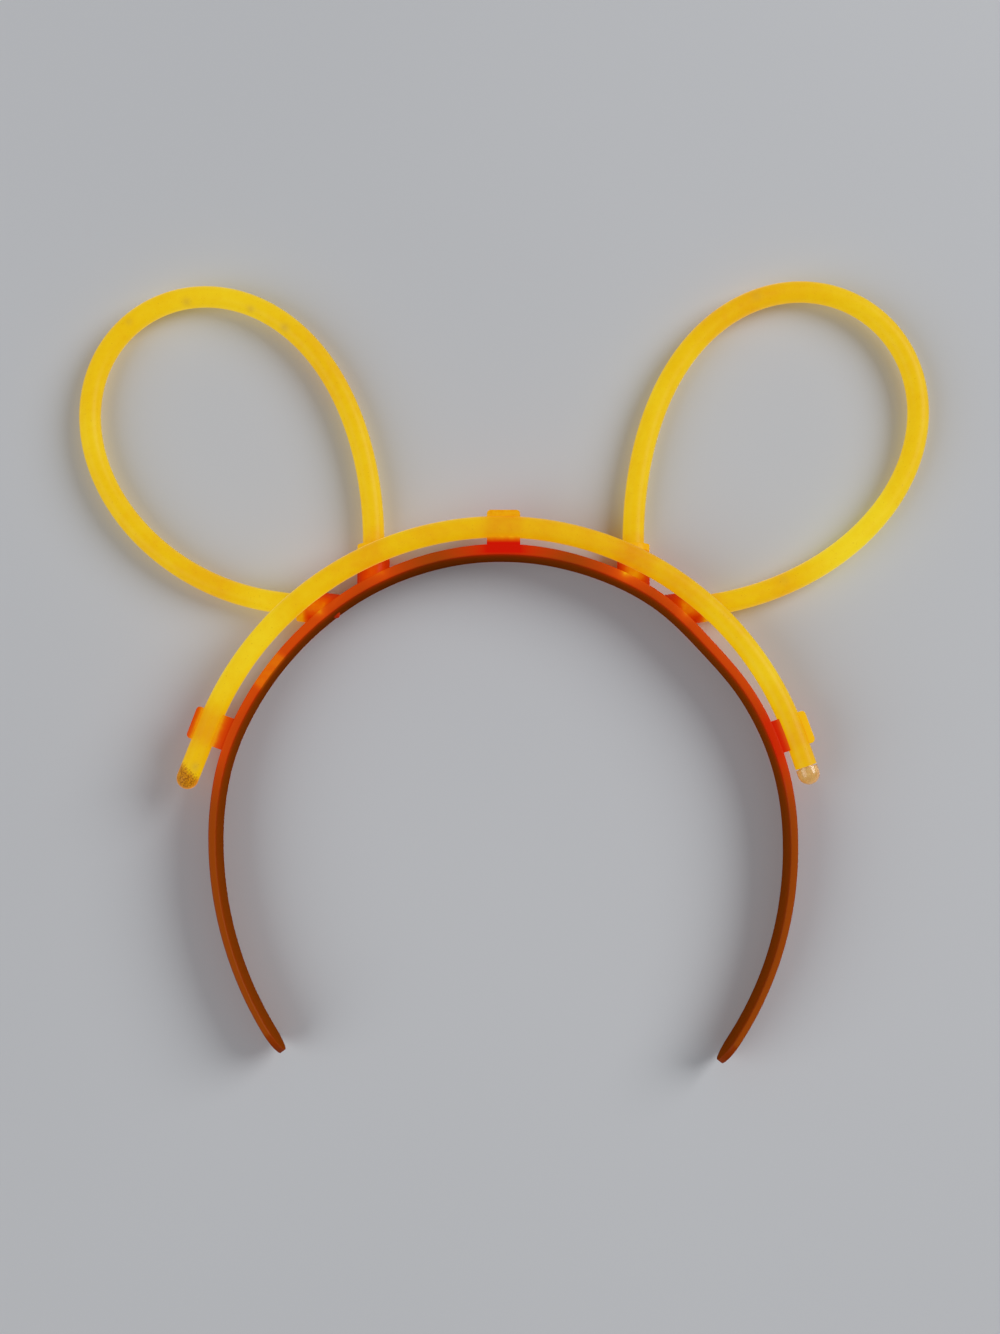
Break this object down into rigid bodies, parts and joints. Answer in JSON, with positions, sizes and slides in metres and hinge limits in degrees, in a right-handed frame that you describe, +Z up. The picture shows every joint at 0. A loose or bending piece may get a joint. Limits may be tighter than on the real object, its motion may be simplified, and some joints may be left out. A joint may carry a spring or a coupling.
{
  "type": "glow stick headband",
  "caption": "Open C-shaped plastic costume headband that carries glowing light sticks: an arch over the band in open clips, and looped ears in sockets.",
  "frame": {"origin": "middle of the headband's box in plan, on the flat edge of the band that it lies on", "axes": "+Z up out of the flat headband, the way the clips open; +Y from the band's tips towards the ears; +X to the right as seen from above"},
  "size_m": [0.1984, 0.1808, 0.013],
  "materials": {
    "orange_moulding": "translucent satin",
    "stick_tube": "translucent gloss",
    "glow_liquid": "glowing liquid",
    "clear_plug": "clear gloss"
  },
  "bodies": {
    "root": {"headband_frame": "orange_moulding", "arch_tube": "stick_tube", "arch_glow_core": "glow_liquid", "arch_end_plug": "clear_plug", "left_ear_tube": "stick_tube", "left_ear_glow_core": "glow_liquid", "left_ear_end_plug": "clear_plug", "right_ear_tube": "stick_tube", "right_ear_glow_core": "glow_liquid", "right_ear_end_plug": "clear_plug"}
  },
  "joints": []
}
